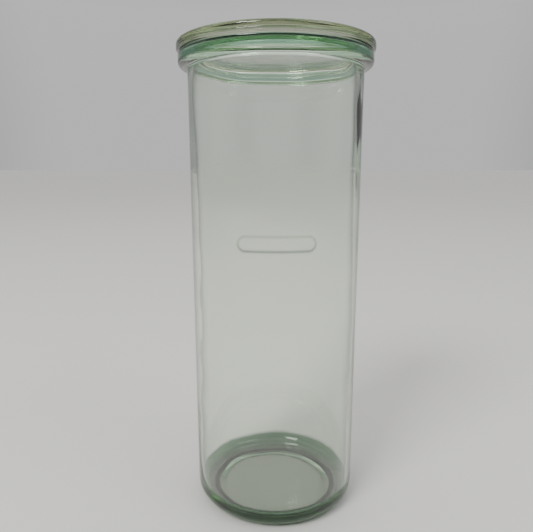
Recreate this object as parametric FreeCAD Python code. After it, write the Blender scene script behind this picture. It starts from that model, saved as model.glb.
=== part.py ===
import FreeCAD, Part
import math
import os

# Lidded glass canister: a tall straight jar with a round bead rim, and a loose flat glass lid.
#
# Frame: millimetres, +Z up, origin at the centre of the jar's foot, on the surface it stands on.
# The jar and the lid are bodies of revolution about Z. The jar also carries a blank plate with
# round ends, in low relief, on its front, which faces -Y.

# Driving dimensions
LID_DIAMETER = 110.0
CANISTER_HEIGHT = 267.0
LID_EDGE_HEIGHT = 6.0
LID_SEAT_GAP = 0.15
BODY_DIAMETER_TOP = 98.2
BODY_DIAMETER_FOOT = 96.0
WALL = 3.3
FLOOR = 6.5

# Jar
RIM_DIAMETER = 108.3
RIM_HEIGHT = 7.8
RIM_LOWER_ROUND = 3.4
RIM_EDGE_ROUND = 0.8
RIM_INNER_ROUND = 1.4
NECK_ROUND = 1.6
HEEL_ROUND = 10.0
INNER_CORNER_ROUND = 6.0
FOOT_RING_WIDTH = 3.5
PUSH_UP = 1.6
PUSH_UP_SLOPE_WIDTH = 5.0

# Lid
LID_EDGE_ROUND = 2.0
LID_UNDER_ROUND = 2.2
STACKING_RING_WIDTH = 6.5
STACKING_RECESS = 2.6
STACKING_SLOPE_WIDTH = 1.6
COLLAR_CLEARANCE = 1.0
COLLAR_WIDTH = 2.6
COLLAR_DEPTH = 5.0
COLLAR_END_ROUND = 1.2
PANEL = 4.4
CHAMFER = 0.6

# Blank plate in relief
PLATE_LENGTH = 42.0
PLATE_HEIGHT = 10.0
PLATE_RELIEF = 0.5
PLATE_AT = 162.0

# Worked out from the above
JAR_HEIGHT = CANISTER_HEIGHT - LID_EDGE_HEIGHT
RIM_RADIUS = RIM_DIAMETER / 2
LID_RADIUS = LID_DIAMETER / 2
RADIUS_TOP = BODY_DIAMETER_TOP / 2
RADIUS_FOOT = BODY_DIAMETER_FOOT / 2
RIM_BOTTOM = JAR_HEIGHT - RIM_HEIGHT
WALL_TOP = RIM_BOTTOM - NECK_ROUND
MOUTH_RADIUS = RADIUS_TOP - WALL
FLOOR_RADIUS = RADIUS_FOOT - WALL

AXIS = FreeCAD.Vector(0, 0, 1)
ORIGIN = FreeCAD.Vector(0, 0, 0)


def point(radius, height):
    """A point of a profile, in the X-Z plane."""
    return FreeCAD.Vector(radius, 0, height)


def line(start, end):
    return Part.LineSegment(start, end).toShape()


def arc(centre, radius, start_deg, end_deg):
    """An arc of a profile. Angles run from +X towards +Z."""

    def on(angle):
        turned = math.radians(angle)
        return centre + point(radius * math.cos(turned), radius * math.sin(turned))

    middle = (start_deg + end_deg) / 2
    return Part.Arc(on(start_deg), on(middle), on(end_deg)).toShape()


def joined(pieces):
    """Arcs and lines in order, with straight runs added from each one's end to the next one's start."""
    edges = []
    for number, piece in enumerate(pieces):
        edges.append(piece)
        following = pieces[(number + 1) % len(pieces)]
        end = piece.valueAt(piece.LastParameter)
        start = following.valueAt(following.FirstParameter)
        if end.distanceToPoint(start) > 1e-6:
            edges.append(line(end, start))
    return edges


def revolved(pieces):
    """A solid of revolution about Z from a closed profile."""
    face = Part.Face(Part.Wire(joined(pieces)))
    solid = face.revolve(ORIGIN, AXIS, 360)
    return Part.Solid(solid.Shells[0])


def wall_radius(height):
    """Outer radius of the jar's straight wall, which widens slightly towards the top."""
    share = (height - HEEL_ROUND) / (WALL_TOP - HEEL_ROUND)
    return RADIUS_FOOT + (RADIUS_TOP - RADIUS_FOOT) * share


def jar_outside():
    """Profile pieces from the middle of the foot up to the top of the rim."""
    foot_outer = RADIUS_FOOT - HEEL_ROUND
    foot_inner = foot_outer - FOOT_RING_WIDTH
    push_up = line(point(0, PUSH_UP), point(foot_inner - PUSH_UP_SLOPE_WIDTH, PUSH_UP))
    foot_ring = line(point(foot_inner, 0), point(foot_outer, 0))
    heel = arc(point(foot_outer, HEEL_ROUND), HEEL_ROUND, -90, 0)
    neck = arc(point(RADIUS_TOP + NECK_ROUND, WALL_TOP), NECK_ROUND, 180, 90)
    under_rim = arc(
        point(RIM_RADIUS - RIM_LOWER_ROUND, RIM_BOTTOM + RIM_LOWER_ROUND), RIM_LOWER_ROUND, -90, 0
    )
    rim_edge = arc(
        point(RIM_RADIUS - RIM_EDGE_ROUND, JAR_HEIGHT - RIM_EDGE_ROUND), RIM_EDGE_ROUND, 0, 90
    )
    return [push_up, foot_ring, heel, neck, under_rim, rim_edge]


def jar_inside():
    """Profile pieces from the rim's inner edge down to the middle of the floor."""
    mouth_edge = arc(
        point(MOUTH_RADIUS + RIM_INNER_ROUND, JAR_HEIGHT - RIM_INNER_ROUND), RIM_INNER_ROUND, 90, 180
    )
    corner = arc(
        point(FLOOR_RADIUS - INNER_CORNER_ROUND, FLOOR + INNER_CORNER_ROUND), INNER_CORNER_ROUND, 0, -90
    )
    floor = line(point(FLOOR_RADIUS - INNER_CORNER_ROUND, FLOOR), point(0, FLOOR))
    return [mouth_edge, corner, floor]


def blank_plate():
    """A bar with round ends, rooted inside the wall and standing PLATE_RELIEF proud of it."""
    end = PLATE_HEIGHT / 2
    reach = PLATE_LENGTH / 2 - end
    outline = joined([
        arc(point(reach, PLATE_AT), end, -90, 90),
        arc(point(-reach, PLATE_AT), end, 90, 270),
    ])
    prism = Part.Face(Part.Wire(outline)).extrude(FreeCAD.Vector(0, -2 * RADIUS_TOP, 0))
    low = PLATE_AT - PLATE_HEIGHT
    high = PLATE_AT + PLATE_HEIGHT
    root = -WALL / 2
    band = revolved([
        line(point(wall_radius(low) + root, low), point(wall_radius(low) + PLATE_RELIEF, low)),
        line(point(wall_radius(high) + PLATE_RELIEF, high), point(wall_radius(high) + root, high)),
    ])
    return band.common(prism)


def glass_jar():
    """A moulded jar with a flat rim to seat the lid and a push-up inside its foot ring."""
    body = revolved(jar_outside() + jar_inside() + [line(point(0, FLOOR), point(0, PUSH_UP))])
    return body.fuse(blank_plate()).removeSplitter()


def glass_lid():
    """A flat disc with a rounded bead edge, a raised stacking ring on top and a locating collar below."""
    seat = JAR_HEIGHT + LID_SEAT_GAP
    top = CANISTER_HEIGHT
    ring_inner = LID_RADIUS - LID_EDGE_ROUND - STACKING_RING_WIDTH
    panel_top = top - STACKING_RECESS
    panel_bottom = panel_top - PANEL
    collar_outer = MOUTH_RADIUS - COLLAR_CLEARANCE
    collar_inner = collar_outer - COLLAR_WIDTH
    collar_end = seat - COLLAR_DEPTH
    under_edge = arc(
        point(LID_RADIUS - LID_UNDER_ROUND, seat + LID_UNDER_ROUND), LID_UNDER_ROUND, -90, 0
    )
    top_edge = arc(point(LID_RADIUS - LID_EDGE_ROUND, top - LID_EDGE_ROUND), LID_EDGE_ROUND, 0, 90)
    ring_top = line(point(ring_inner + CHAMFER, top), point(ring_inner, top - CHAMFER))
    recess_foot = line(
        point(ring_inner - STACKING_SLOPE_WIDTH, panel_top + CHAMFER),
        point(ring_inner - STACKING_SLOPE_WIDTH - CHAMFER, panel_top),
    )
    middle = line(point(0, panel_top), point(0, panel_bottom))
    collar_root = line(
        point(collar_inner - CHAMFER, panel_bottom), point(collar_inner, panel_bottom - CHAMFER)
    )
    collar_tip_inner = arc(
        point(collar_inner + COLLAR_END_ROUND, collar_end + COLLAR_END_ROUND), COLLAR_END_ROUND, 180, 270
    )
    collar_tip_outer = arc(
        point(collar_outer - COLLAR_END_ROUND, collar_end + COLLAR_END_ROUND), COLLAR_END_ROUND, -90, 0
    )
    seat_start = line(point(collar_outer, seat), point(collar_outer + CHAMFER, seat))
    return revolved([
        under_edge, top_edge, ring_top, recess_foot, middle,
        collar_root, collar_tip_inner, collar_tip_outer, seat_start,
    ])


def main():
    os.makedirs("parts", exist_ok=True)
    for name, solid in (("glass_jar", glass_jar()), ("glass_lid", glass_lid())):
        if not solid.isValid():
            raise ValueError(f"{name} is not a valid solid")
        solid.exportStep(f"parts/{name}.step")
        box = solid.BoundBox
        print(f"{name}: {len(solid.Solids)} solid, {solid.Volume / 1000:.1f} cm3, "
              f"z {box.ZMin:.2f} to {box.ZMax:.2f}")


main()
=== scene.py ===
import math

import bpy
import numpy as np
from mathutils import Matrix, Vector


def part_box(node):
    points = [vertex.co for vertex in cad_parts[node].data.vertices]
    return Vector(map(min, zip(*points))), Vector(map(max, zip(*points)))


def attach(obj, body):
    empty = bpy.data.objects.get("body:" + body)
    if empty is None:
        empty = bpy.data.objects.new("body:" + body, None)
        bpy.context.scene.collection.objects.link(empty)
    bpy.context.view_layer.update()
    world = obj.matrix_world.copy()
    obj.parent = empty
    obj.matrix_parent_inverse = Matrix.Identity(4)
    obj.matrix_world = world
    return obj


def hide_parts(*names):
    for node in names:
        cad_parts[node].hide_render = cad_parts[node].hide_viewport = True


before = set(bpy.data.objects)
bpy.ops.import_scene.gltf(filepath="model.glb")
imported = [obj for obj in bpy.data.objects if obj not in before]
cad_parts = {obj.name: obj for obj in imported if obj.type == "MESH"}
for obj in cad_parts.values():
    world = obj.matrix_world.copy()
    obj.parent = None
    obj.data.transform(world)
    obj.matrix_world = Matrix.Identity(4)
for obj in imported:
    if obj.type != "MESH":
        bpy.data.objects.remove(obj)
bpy.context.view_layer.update()  # the fixed CAD frame: jar and lid, in metres

mm = 0.001
sameSpot = 0.001 * mm  # two points of a profile nearer than this are one

# the shared sizes, taken from the frame's own boxes
jarLow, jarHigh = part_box("glass_jar")
lidLow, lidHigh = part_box("glass_lid")
rimRadius = (jarHigh.x - jarLow.x) / 2
lidRadius = (lidHigh.x - lidLow.x) / 2
jarTop = jarHigh.z
lidTop = lidHigh.z
print("frame loaded, jar", round(jarTop / mm, 2), "mm, lid top", round(lidTop / mm, 2), "mm")


def arcPoints(centreR, centreZ, radius, startDeg, endDeg, count):
    # points at equal angles from start to end on a circle in the radius-height plane
    a = np.radians(np.linspace(startDeg, endDeg, count))
    return np.stack([centreR + radius * np.cos(a), centreZ + radius * np.sin(a)], axis=1)


def linePoints(startR, startZ, endR, endZ, count):
    # evenly spaced points on the straight run between two ends
    t = np.linspace(0.0, 1.0, count)[:, None]
    return np.array([startR, startZ]) * (1 - t) + np.array([endR, endZ]) * t


def profileFrom(stretches):
    # the stretches one after another, without the points that repeat where two of them meet
    p = np.concatenate(stretches)
    keep = np.ones(len(p), bool)
    keep[1:] = np.hypot(*(p[1:] - p[:-1]).T) > sameSpot
    return p[keep]


def evenAngles(count):
    # equal steps round the whole circle
    return np.linspace(0.0, 2 * math.pi, count, endpoint=False)


def frontedAngles(fineDeg, fineCount, restCount):
    # fine steps across the front, which faces -Y, and wider ones round the rest
    fine = np.linspace(270 - fineDeg, 270 + fineDeg, fineCount, endpoint=False)
    rest = np.linspace(270 + fineDeg, 630 - fineDeg, restCount, endpoint=False)
    return np.radians(np.concatenate([fine, rest]))


def smoothStep(x):
    # an S-curve, 0 below 0 and 1 above 1: x squared times three less twice x
    x = np.clip(x, 0, 1)
    return x * x * (3 - 2 * x)


def turnedSurface(name, profile, t, ripple):
    # profile (r, z) carried round the axis: x = r cos t, y = r sin t, z = z, after the ripple is added
    # to r; a fan of triangles closes each pole
    turns = len(t)
    ring = profile[1:-1]
    r, tt = np.meshgrid(ring[:, 0], t, indexing="ij")
    z, _ = np.meshgrid(ring[:, 1], t, indexing="ij")
    r = r + ripple(r, tt, z)
    grid = np.stack([r * np.cos(tt), r * np.sin(tt), z], axis=2).reshape(-1, 3)
    poles = np.array([[0, 0, profile[0, 1]], [0, 0, profile[-1, 1]]])
    verts = np.concatenate([grid, poles])
    rows = len(ring)
    i, j = np.meshgrid(np.arange(rows - 1), np.arange(turns), indexing="ij")
    k = (j + 1) % turns
    quads = np.stack([i * turns + j, i * turns + k, (i + 1) * turns + k, (i + 1) * turns + j], axis=2)
    quads = quads.reshape(-1, 4)
    j = np.arange(turns)
    k = (j + 1) % turns
    first = rows * turns
    startFan = np.stack([np.full(turns, first), k, j], axis=1)
    last = (rows - 1) * turns
    endFan = np.stack([np.full(turns, first + 1), last + j, last + k], axis=1)
    mesh = bpy.data.meshes.new(name)
    mesh.from_pydata(verts.tolist(), [], quads.tolist() + startFan.tolist() + endFan.tolist())
    mesh.validate()
    mesh.polygons.foreach_set("use_smooth", np.ones(len(mesh.polygons), bool))
    mesh.update()
    piece = bpy.data.objects.new(name, mesh)
    bpy.context.scene.collection.objects.link(piece)
    return piece


# the jar: outside from the middle of the foot up, over the rim, and down the inside
jar = {
    "radiusTop": 49.1 * mm,
    "radiusFoot": 48.0 * mm,
    "wall": 3.3 * mm,
    "floor": 6.5 * mm,
    "heelRound": 10.0 * mm,
    "footRingWidth": 3.5 * mm,
    "pushUp": 1.6 * mm,
    "pushUpSlope": 5.0 * mm,
    "rimHeight": 7.8 * mm,
    "rimLowerRound": 3.4 * mm,
    "rimEdgeRound": 0.8 * mm,
    "rimInnerRound": 1.4 * mm,
    "neckRound": 1.6 * mm,
    "innerCornerRound": 6.0 * mm,
    "plateLength": 42.0 * mm,
    "plateHeight": 10.0 * mm,
    "plateRelief": 0.5 * mm,
    "plateAt": 162.0 * mm,
    "plateEdge": 2.4 * mm,  # width of its rounded edge
    "fineHeight": 6.0 * mm,  # close rows of points this far above and below the plate's middle
    "fineDeg": 26,  # close columns this far to each side of the front
    "fineCount": 168,
    "restCount": 220,
    "innerWave": 0.40 * mm,  # unevenness of the inner wall
    "waves": [  # share, turns round, radians a metre upwards, start
        (0.45, 2, 9, 0.7), (0.30, 5, -14, 2.1), (0.15, 9, 31, 0.4), (0.25, 0, 52, 1.3), (0.12, 3, 190, -1.1),
    ],
    "waveFadeLow": 12.0 * mm,  # height above the floor over which they grow
    "waveFadeHigh": 14.0 * mm,  # and over which they die away again
    "waveStop": 6.0 * mm,  # below the top of the rim
}


def wallPoints(s, fromZ, toZ, wallTop, count):
    # part of the straight wall, whose radius widens evenly from the heel to the neck
    z = np.linspace(fromZ, toZ, count)
    share = (z - s["heelRound"]) / (wallTop - s["heelRound"])
    return np.stack([s["radiusFoot"] + (s["radiusTop"] - s["radiusFoot"]) * share, z], axis=1)


def jarProfile(s):
    # push-up, foot ring, heel arc, straight wall, neck arc, rim bead, then the inside back down
    # the last value of each stretch is its number of points
    footOuter = s["radiusFoot"] - s["heelRound"]
    footInner = footOuter - s["footRingWidth"]
    rimBottom = jarTop - s["rimHeight"]
    wallTop = rimBottom - s["neckRound"]
    mouth = s["radiusTop"] - s["wall"]
    inFoot = s["radiusFoot"] - s["wall"]
    corner = s["innerCornerRound"]
    lower = s["rimLowerRound"]
    edge = s["rimEdgeRound"]
    inner = s["rimInnerRound"]
    plateLow = s["plateAt"] - s["fineHeight"]
    plateHigh = s["plateAt"] + s["fineHeight"]
    return profileFrom([
        linePoints(0, s["pushUp"], footInner - s["pushUpSlope"], s["pushUp"], 10),
        linePoints(footInner - s["pushUpSlope"], s["pushUp"], footInner, 0, 6),
        linePoints(footInner, 0, footOuter, 0, 4),
        arcPoints(footOuter, s["heelRound"], s["heelRound"], -90, 0, 16),
        wallPoints(s, s["heelRound"], plateLow, wallTop, 18),
        wallPoints(s, plateLow, plateHigh, wallTop, 56),
        wallPoints(s, plateHigh, wallTop, wallTop, 12),
        arcPoints(s["radiusTop"] + s["neckRound"], wallTop, s["neckRound"], 180, 90, 8),
        arcPoints(rimRadius - lower, rimBottom + lower, lower, -90, 0, 12),
        arcPoints(rimRadius - edge, jarTop - edge, edge, 0, 90, 6),
        arcPoints(mouth + inner, jarTop - inner, inner, 90, 180, 8),
        linePoints(mouth, jarTop - inner, inFoot, s["floor"] + corner, 60),
        arcPoints(inFoot - corner, s["floor"] + corner, corner, 0, -90, 12),
        linePoints(inFoot - corner, s["floor"], 0, s["floor"], 10),
    ])


def onOutside(r):
    # true outside the middle of the wall
    return r > jar["radiusFoot"] - jar["wall"] / 2


def plateShare(r, t, z):
    # the blank plate on the front: 0 off it, 1 on its flat, by an S-curve of the depth inside its
    # outline, which is half its height less the distance to its middle line
    end = jar["plateHeight"] / 2
    beyond = np.maximum(np.abs(r * np.cos(t)) - (jar["plateLength"] / 2 - end), 0)
    depthIn = end - np.hypot(beyond, z - jar["plateAt"])
    return smoothStep(depthIn / jar["plateEdge"]) * onOutside(r) * (np.sin(t) < 0)


def jarRipple(r, t, z):
    # outside: the plate's share times its relief
    # inside: share times sin(turns t + rise z + start), summed, so that the thickness wanders
    s = jar
    wave = sum(share * np.sin(n * t + rise * z + start) for share, n, rise, start in s["waves"])
    low = smoothStep((z - s["floor"]) / s["waveFadeLow"])
    high = smoothStep((jarTop - s["waveStop"] - z) / s["waveFadeHigh"])
    return plateShare(r, t, z) * s["plateRelief"] + ~onOutside(r) * low * high * s["innerWave"] * wave


def markPlateEdge(piece):
    # a number for each point, 4 share (1 - share): 1 half way up the plate's edge, 0 elsewhere; it places
    # the painted shade along that edge
    place = np.empty(3 * len(piece.data.vertices))
    piece.data.vertices.foreach_get("co", place)
    x, y, z = place.reshape(-1, 3).T
    share = plateShare(np.hypot(x, y), np.arctan2(y, x), z)
    edge = piece.data.attributes.new("plateEdge", "FLOAT", "POINT")
    edge.data.foreach_set("value", 4 * share * (1 - share))


jarAngles = frontedAngles(jar["fineDeg"], jar["fineCount"], jar["restCount"])
jarPiece = turnedSurface("jarBody", jarProfile(jar), jarAngles, jarRipple)
markPlateEdge(jarPiece)
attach(jarPiece, "jar")
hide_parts("glass_jar")
print("jar made,", len(jarPiece.data.polygons), "faces")


# the lid: under edge, bead, stacking ring, panel, and the collar that drops into the mouth
lid = {
    "seatGap": 0.15 * mm,
    "edgeRound": 2.0 * mm,
    "underRound": 2.2 * mm,
    "ringWidth": 6.5 * mm,
    "recess": 2.6 * mm,
    "slope": 1.6 * mm,
    "collarClearance": 1.0 * mm,
    "collarWidth": 2.6 * mm,
    "collarDepth": 5.0 * mm,
    "collarEndRound": 1.2 * mm,
    "panel": 4.4 * mm,
    "chamfer": 0.6 * mm,
    "columns": 384,
    "seamDepth": 0.22 * mm,  # the mould's parting line, a fine groove round the edge
    "seamWidth": 0.32 * mm,
    "seamUp": 2.40 * mm,  # its height above the seat
    "seamRows": 0.8 * mm,  # height of the close rows of points that carry it
    "seamReach": 1.5 * mm,  # it is cut only this far in from the lid's full radius
    "outOfRound": 0.05 * mm,
    "lobes": [(1.0, 3, 0.5), (0.2, 7, 1.1)],  # share, turns round, start
}


def lidProfile(s):
    # underside from the middle outwards, round the bead, then the top back to the middle
    # the last value of each stretch is its number of points
    seat = jarTop + s["seatGap"]
    mouth = jar["radiusTop"] - jar["wall"]
    ringInner = lidRadius - s["edgeRound"] - s["ringWidth"]
    panelTop = lidTop - s["recess"]
    panelBottom = panelTop - s["panel"]
    collarOuter = mouth - s["collarClearance"]
    collarInner = collarOuter - s["collarWidth"]
    collarEnd = seat - s["collarDepth"]
    c = s["chamfer"]
    e = s["collarEndRound"]
    under = s["underRound"]
    return profileFrom([
        linePoints(0, panelBottom, collarInner - c, panelBottom, 12),
        linePoints(collarInner - c, panelBottom, collarInner, panelBottom - c, 4),
        arcPoints(collarInner + e, collarEnd + e, e, 180, 270, 8),
        arcPoints(collarOuter - e, collarEnd + e, e, -90, 0, 8),
        linePoints(collarOuter, seat, lidRadius - under, seat, 8),
        arcPoints(lidRadius - under, seat + under, under, -90, 0, 18),
        linePoints(lidRadius, seat + under, lidRadius, seat + under + s["seamRows"], 10),
        arcPoints(lidRadius - s["edgeRound"], lidTop - s["edgeRound"], s["edgeRound"], 0, 90, 12),
        linePoints(ringInner + c, lidTop, ringInner, lidTop - c, 4),
        linePoints(ringInner - s["slope"], panelTop + c, ringInner - s["slope"] - c, panelTop, 4),
        linePoints(ringInner - s["slope"] - c, panelTop, 0, panelTop, 12),
    ])


def lidRipple(r, t, z):
    # out of round by share times (sin(turns t + start) - 1), summed, and growing with r, less a groove
    # for the seam on the rounded edge: depth times e to the minus (height off it / width) squared
    s = lid
    slow = sum(share * (np.sin(n * t + start) - 1) for share, n, start in s["lobes"])
    above = z - (jarTop + s["seatGap"] + s["seamUp"])
    onEdge = r > lidRadius - s["seamReach"]
    seam = s["seamDepth"] * np.exp(-(above / s["seamWidth"]) ** 2) * onEdge
    return s["outOfRound"] * (r / lidRadius) * slow - seam


lidPiece = turnedSurface("lidDisc", lidProfile(lid), evenAngles(lid["columns"]), lidRipple)
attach(lidPiece, "lid")
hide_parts("glass_lid")
print("lid made,", len(lidPiece.data.polygons), "faces")


# the glass of both, then the studio round them
def addNode(tree, kind, x, y, **settings):
    # a node of the kind at a place in the node editor, with its settings filled in
    node = tree.nodes.new(kind)
    node.location = (x, y)
    for key, value in settings.items():
        setattr(node, key, value)
    return node


def noiseOn(tree, place, scale, detail, x, y):
    # a soft noise over the coordinates, 0 to 1
    noise = addNode(tree, "ShaderNodeTexNoise", x, y)
    noise.inputs["Scale"].default_value = scale
    noise.inputs["Detail"].default_value = detail
    tree.links.new(place, noise.inputs["Vector"])
    return noise.outputs["Fac"]


def stretched(tree, place, scale, x, y):
    # the coordinates, each axis multiplied by a scale of its own
    mapping = addNode(tree, "ShaderNodeMapping", x, y)
    mapping.inputs["Scale"].default_value = scale
    tree.links.new(place, mapping.inputs["Vector"])
    return mapping.outputs["Vector"]


def bumpOf(tree, height, distance, under, x, y):
    # the normal tilted by the slope of height times distance, on top of the bump under it
    bump = addNode(tree, "ShaderNodeBump", x, y)
    bump.inputs["Strength"].default_value = 1.0
    bump.inputs["Distance"].default_value = distance
    tree.links.new(height, bump.inputs["Height"])
    if under:
        tree.links.new(under, bump.inputs["Normal"])
    return bump.outputs["Normal"]


def smoothRange(tree, source, ends, x, y, reached=(0.0, 1.0)):
    # the first of reached before the first end, the second past the second, an S-curve between them
    node = addNode(tree, "ShaderNodeMapRange", x, y, interpolation_type="SMOOTHSTEP")
    node.inputs["From Min"].default_value = ends[0]
    node.inputs["From Max"].default_value = ends[1]
    node.inputs["To Min"].default_value = reached[0]
    node.inputs["To Max"].default_value = reached[1]
    tree.links.new(source, node.inputs["Value"])
    return node.outputs["Result"]


def mixed(tree, colour, over, share, x, y):
    # colour times (1 - share) plus the fixed colour over it times share
    blend = addNode(tree, "ShaderNodeMix", x, y, data_type="RGBA")
    blend.inputs["B"].default_value = over
    tree.links.new(share, blend.inputs["Factor"])
    tree.links.new(colour, blend.inputs["A"])
    return blend.outputs["Result"]


def glassColour(tree, finish, place, height, haze):
    # almost clear in the wall, and bottle green in the thick parts, each bounded by radius and height; the
    # jar's foot and heel colours also hold painted shade. The radius is the length of (x, y, 0)
    tint = addNode(tree, "ShaderNodeValToRGB", -200, 520)
    tint.color_ramp.elements[0].color = finish["clear"]
    tint.color_ramp.elements[1].color = finish["clearer"]
    tree.links.new(haze, tint.inputs["Fac"])
    flat = addNode(tree, "ShaderNodeVectorMath", -700, 760, operation="MULTIPLY")
    flat.inputs[1].default_value = (1.0, 1.0, 0.0)
    reach = addNode(tree, "ShaderNodeVectorMath", -500, 760, operation="LENGTH")
    tree.links.new(place, flat.inputs[0])
    tree.links.new(flat.outputs["Vector"], reach.inputs[0])
    colour = tint.outputs["Color"]
    for n, tintedPart in enumerate(finish["tintedParts"]):
        y = 700 + 400 * n
        outer = smoothRange(tree, reach.outputs["Value"], tintedPart["radius"], -300, y)
        level = smoothRange(tree, height, tintedPart["height"], -300, y + 180)
        here = addNode(tree, "ShaderNodeMath", -60, y + 90, operation="MULTIPLY")
        tree.links.new(outer, here.inputs[0])
        tree.links.new(level, here.inputs[1])
        colour = mixed(tree, colour, tintedPart["colour"], here.outputs["Value"], 120 + 160 * n, y)
    # painted shade: the plate's sloping edge is darkened to an outline where plateEdge is high
    if "plateEdgeShade" in finish:
        relief = addNode(tree, "ShaderNodeAttribute", 120, 500, attribute_name="plateEdge")
        colour = mixed(tree, colour, finish["plateEdgeShade"], relief.outputs["Fac"], 300, 600)
    return colour


def pressedGlass(name, finish):
    # a clear dielectric with faint green absorption in its depth, a bump, a trace of haze and a painted
    # shade along its outline
    material = bpy.data.materials.new(name)
    material.use_nodes = True
    tree = material.node_tree
    tree.nodes.clear()
    out = addNode(tree, "ShaderNodeOutputMaterial", 900, 0)
    shader = addNode(tree, "ShaderNodeBsdfPrincipled", 600, 0)
    shader.inputs["Transmission Weight"].default_value = 1.0
    shader.inputs["IOR"].default_value = finish["ior"]
    tree.links.new(shader.outputs["BSDF"], out.inputs["Surface"])
    place = addNode(tree, "ShaderNodeTexCoord", -900, 0).outputs["Object"]
    # long upright waves, the small orange peel of the mould skin, and level chill ripples left
    # where the glass met the cool mould, which deepen towards the rim
    drawn = stretched(tree, place, finish["waveScale"], -700, 0)
    waves = noiseOn(tree, drawn, 1.0, finish["waveDetail"], -500, 0)
    skin = noiseOn(tree, place, finish["skinScale"], finish["skinDetail"], -500, -260)
    level = stretched(tree, place, finish["chillScale"], -700, -460)
    chill = noiseOn(tree, level, 1.0, finish["chillDetail"], -500, -460)
    split = addNode(tree, "ShaderNodeSeparateXYZ", -700, -700)
    tree.links.new(place, split.inputs["Vector"])
    height = split.outputs["Z"]
    more = smoothRange(tree, height, finish["rimStarts"], -300, -700, (1.0, finish["rimChill"]))
    ripples = addNode(tree, "ShaderNodeMath", -100, -560, operation="MULTIPLY")
    tree.links.new(chill, ripples.inputs[0])
    tree.links.new(more, ripples.inputs[1])
    normal = bumpOf(tree, waves, finish["waveDepth"], None, -200, -100)
    normal = bumpOf(tree, skin, finish["skinDepth"], normal, 0, -200)
    normal = bumpOf(tree, ripples.outputs["Value"], finish["chillDepth"], normal, 200, -300)
    tree.links.new(normal, shader.inputs["Normal"])
    # faint handling haze: roughness from a soft noise
    haze = noiseOn(tree, place, finish["hazeScale"], finish["hazeDetail"], -500, 260)
    toRough = addNode(tree, "ShaderNodeMapRange", -200, 260)
    toRough.inputs["From Min"].default_value = finish["hazeRange"][0]
    toRough.inputs["From Max"].default_value = finish["hazeRange"][1]
    toRough.inputs["To Min"].default_value = finish["roughLow"]
    toRough.inputs["To Max"].default_value = finish["roughHigh"]
    tree.links.new(haze, toRough.inputs["Value"])
    tree.links.new(toRough.outputs["Result"], shader.inputs["Roughness"])
    # painted shade: where the surface turns away from the view the base colour darkens to a dark line along
    # the outline, standing in for the dark edges that light bending through thick glass gives
    turned = addNode(tree, "ShaderNodeLayerWeight", 100, 420)
    turned.inputs["Blend"].default_value = 0.5  # leaves Facing even, from 0 to 1
    tree.links.new(normal, turned.inputs["Normal"])
    edgeShadeOn = smoothRange(tree, turned.outputs["Facing"], finish["edgeShadeFacing"], 250, 420)
    colour = glassColour(tree, finish, place, height, haze)
    colour = mixed(tree, colour, finish["paintedEdgeShade"], edgeShadeOn, 420, 420)
    tree.links.new(colour, shader.inputs["Base Color"])
    # the depth of the glass swallows blue and red before green
    depth = addNode(tree, "ShaderNodeVolumeAbsorption", 600, -420)
    depth.inputs["Color"].default_value = finish["depthColour"]
    depth.inputs["Density"].default_value = finish["depthDensity"]
    tree.links.new(depth.outputs["Volume"], out.inputs["Volume"])
    return material


glass = {
    "ior": 1.52,
    "waveDepth": 0.12 * mm,
    "waveDetail": 2.0,
    "chillDetail": 1.0,
    "rimStarts": (jarTop - 9.5 * mm, jarTop - 7.5 * mm),
    "skinScale": 420.0,
    "skinDepth": 0.0012 * mm,
    "skinDetail": 3.0,
    "hazeScale": 38.0,
    "hazeDetail": 5.0,
    "hazeRange": (0.35, 0.75),
    "roughLow": 0.0,
    "roughHigh": 0.03,
    "clear": (0.950, 0.975, 0.935, 1.0),
    "clearer": (0.970, 0.988, 0.960, 1.0),
    "depthColour": (0.66, 0.88, 0.60, 1.0),
    "depthDensity": 22.0,
    # where the painted shade on the outline begins and where it is full, in Layer Weight's Facing
    "edgeShadeFacing": (0.60, 0.88),  # 0 seen straight on, 1 seen edge on
    # the colour of that painted shade on the outline
    "paintedEdgeShade": (0.06, 0.085, 0.06, 1.0),
}
jarFinish = {
    **glass,
    "waveScale": (55.0, 55.0, 7.0),
    "chillScale": (22.0, 22.0, 210.0),
    "chillDepth": 0.015 * mm,
    "rimChill": 5.0,  # how many times deeper the chill ripples are on the rim
    # painted shade: the colour that darkens the plate's sloping edge into an outline
    "plateEdgeShade": (0.42, 0.52, 0.43, 1.0),  # the plate's sloping edge
    "tintedParts": [
        # foot: bottle green of the thick base, darkened further as painted shade where the jar stands on the
        # floor
        {  # foot
            "radius": (36.0 * mm, 40.0 * mm),
            "height": (6.4 * mm, 5.4 * mm),
            "colour": (0.025, 0.08, 0.035, 1.0),
        },
        # heel: bottle green of the thick glass, darkened further as painted shade near the floor
        {  # heel
            "radius": (45.0 * mm, 46.5 * mm),
            "height": (13.0 * mm, 9.5 * mm),
            "colour": (0.025, 0.08, 0.035, 1.0),
        },
        {  # under the rim
            "radius": (49.5 * mm, 51.5 * mm),
            "height": (jarTop - 8.0 * mm, jarTop - 6.5 * mm),
            "colour": (0.60, 0.72, 0.60, 1.0),
        },
        {  # rim
            "radius": (50.0 * mm, 53.5 * mm),
            "height": (jarTop - 6.5 * mm, jarTop - 4.8 * mm),
            "colour": (0.13, 0.33, 0.22, 1.0),
        },
    ],
}
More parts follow.
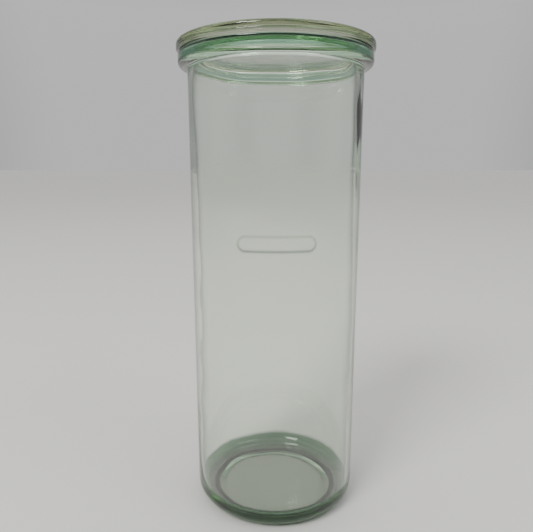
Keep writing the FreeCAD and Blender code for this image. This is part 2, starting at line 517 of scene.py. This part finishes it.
lidFinish = {
    **glass,
    "waveScale": (70.0, 70.0, 40.0),
    "chillScale": (120.0, 120.0, 30.0),
    "chillDepth": 0.05 * mm,
    "rimChill": 1.0,
    "tintedParts": [
        {  # edge
            "radius": (50.0 * mm, 53.5 * mm),
            "height": (lidTop - 7.0 * mm, lidTop - 6.5 * mm),
            "colour": (0.32, 0.33, 0.23, 1.0),
        },
        {  # the edge's rounded top
            "radius": (50.0 * mm, 53.5 * mm),
            "height": (lidTop - 3.6 * mm, lidTop - 2.6 * mm),
            "colour": (0.29, 0.30, 0.14, 1.0),
        },
    ],
}
jarPiece.data.materials.append(pressedGlass("jarGlass", jarFinish))
lidPiece.data.materials.append(pressedGlass("lidGlass", lidFinish))
print("glass finished")


# floor, light and camera, in metres, watts and degrees
studio = {
    "floorHalf": 60.0,
    "floorColour": (0.80, 0.785, 0.76, 1.0),
    "floorMottle": 0.97,  # how dark its darker patches are against the rest
    "floorScale": 9.0,
    "floorDetail": 6.0,
    "floorRough": 0.6,
    "skyBands": [  # height of direction, grey
        (0.00, 0.60), (0.10, 0.60), (0.26, 0.62), (0.46, 0.34), (0.70, 0.32), (0.86, 0.52), (1.00, 0.52),
    ],
    "corner": (0.32, 0.50),  # where the corners begin and end, in x times y of the direction
    "cornerDim": 0.62,  # how much of the sky's light is left in them
    "skyStrength": 1.0,
    "lampAim": (0.0, 0.0, 0.14),
    "lamps": [
        {"name": "windowLight", "place": (-1.1, -1.5, 1.9), "size": (0.9, 0.9), "watts": 44.0,
         "colour": (1.0, 0.99, 0.97)},
        {"name": "fillLight", "place": (1.5, -1.0, 2.0), "size": (1.2, 1.0), "watts": 10.0,
         "colour": (0.96, 0.98, 1.0)},
    ],
    "ceilingStrength": 1.05,  # watts a square metre
    "ceilingAcross": 104,
    "ceilingTilt": -16,
    "paths": {"max_bounces": 32, "transmission_bounces": 32, "glossy_bounces": 12},
}


def makeFloor(s):
    # a level square of pale paint, mottled by a noise from floorMottle to 1 times its colour
    h = s["floorHalf"]
    mesh = bpy.data.meshes.new("floor")
    mesh.from_pydata([(-h, -h, 0), (h, -h, 0), (h, h, 0), (-h, h, 0)], [], [(0, 1, 2, 3)])
    floor = bpy.data.objects.new("floor", mesh)
    bpy.context.scene.collection.objects.link(floor)
    material = bpy.data.materials.new("paleFloor")
    material.use_nodes = True
    tree = material.node_tree
    shader = tree.nodes["Principled BSDF"]
    shader.inputs["Roughness"].default_value = s["floorRough"]
    coords = addNode(tree, "ShaderNodeTexCoord", -700, 0)
    noise = noiseOn(tree, coords.outputs["Object"], s["floorScale"], s["floorDetail"], -500, 0)
    ramp = addNode(tree, "ShaderNodeValToRGB", -250, 0)
    ramp.color_ramp.elements[0].color = tuple(s["floorMottle"] * c for c in s["floorColour"][:3]) + (1.0,)
    ramp.color_ramp.elements[1].color = s["floorColour"]
    tree.links.new(noise, ramp.inputs["Fac"])
    tree.links.new(ramp.outputs["Color"], shader.inputs["Base Color"])
    mesh.materials.append(material)


def makeSky(s):
    # a soft room: grey by the height of the direction, times a dimming where |x y| of it is large
    world = bpy.data.worlds.new("softRoom")
    bpy.context.scene.world = world
    world.use_nodes = True
    tree = world.node_tree
    background = tree.nodes["Background"]
    background.inputs["Strength"].default_value = s["skyStrength"]
    coords = addNode(tree, "ShaderNodeTexCoord", -900, 0)
    split = addNode(tree, "ShaderNodeSeparateXYZ", -700, 0)
    ramp = addNode(tree, "ShaderNodeValToRGB", -450, 0)
    stops = ramp.color_ramp.elements
    while len(stops) < len(s["skyBands"]):
        stops.new(0.5)  # its place is set below
    for stop, (height, grey) in zip(stops, s["skyBands"]):
        stop.position = height
        stop.color = (grey, grey, grey, 1.0)
    tree.links.new(coords.outputs["Generated"], split.inputs["Vector"])
    tree.links.new(split.outputs["Z"], ramp.inputs["Fac"])
    across = addNode(tree, "ShaderNodeMath", -550, -300, operation="MULTIPLY")
    tree.links.new(split.outputs["X"], across.inputs[0])
    tree.links.new(split.outputs["Y"], across.inputs[1])
    aside = addNode(tree, "ShaderNodeMath", -400, -300, operation="ABSOLUTE")
    tree.links.new(across.outputs["Value"], aside.inputs[0])
    dim = smoothRange(tree, aside.outputs["Value"], s["corner"], -250, -300, (1.0, s["cornerDim"]))
    both = addNode(tree, "ShaderNodeVectorMath", -150, 0, operation="SCALE")
    tree.links.new(ramp.outputs["Color"], both.inputs["Vector"])
    tree.links.new(dim, both.inputs["Scale"])
    tree.links.new(both.outputs["Vector"], background.inputs["Color"])


def softbox(lampSpec, aim):
    # a rectangle of light, tilted by atan(level distance / height) and turned by atan(y / x) + 90
    # degrees, both of the way back from where it points
    data = bpy.data.lights.new(lampSpec["name"], "AREA")
    data.shape = "RECTANGLE"
    data.size, data.size_y = lampSpec["size"]
    data.energy = lampSpec["watts"]
    data.color = lampSpec["colour"]
    lamp = bpy.data.objects.new(lampSpec["name"], data)
    bpy.context.scene.collection.objects.link(lamp)
    lamp.location = lampSpec["place"]
    away = np.array(lampSpec["place"]) - np.array(aim)
    tilt = math.atan2(math.hypot(away[0], away[1]), away[2])
    lamp.rotation_euler = (tilt, 0, math.atan2(away[1], away[0]) + math.pi / 2)


def ceilingLight(s):
    # light from overhead, as broad as a bright ceiling
    data = bpy.data.lights.new("ceilingLight", "SUN")
    data.energy = s["ceilingStrength"]
    data.angle = math.radians(s["ceilingAcross"])
    lamp = bpy.data.objects.new("ceilingLight", data)
    lamp.rotation_euler = (math.radians(s["ceilingTilt"]), 0, 0)
    bpy.context.scene.collection.objects.link(lamp)


makeFloor(studio)
makeSky(studio)
for spec in studio["lamps"]:
    softbox(spec, studio["lampAim"])
ceilingLight(studio)
for setting, value in studio["paths"].items():  # thick glass needs long light paths
    setattr(bpy.context.scene.cycles, setting, value)

view = {
    "place": (-5.15 * mm, -310 * mm, 199.6 * mm),
    "pitchDown": 10.5,
    "lens": 35.6,
    "sensor": 36.0,
    "nearest": 0.01,
}
camera = bpy.data.objects.new("camera", bpy.data.cameras.new("camera"))
camera.data.lens = view["lens"]
camera.data.sensor_width = view["sensor"]
camera.data.clip_start = view["nearest"]
camera.location = view["place"]
camera.rotation_euler = (math.radians(90 - view["pitchDown"]), 0, 0)
bpy.context.scene.collection.objects.link(camera)
bpy.context.scene.camera = camera
print("floor, light and camera set")

# hand over
bpy.context.view_layer.update()
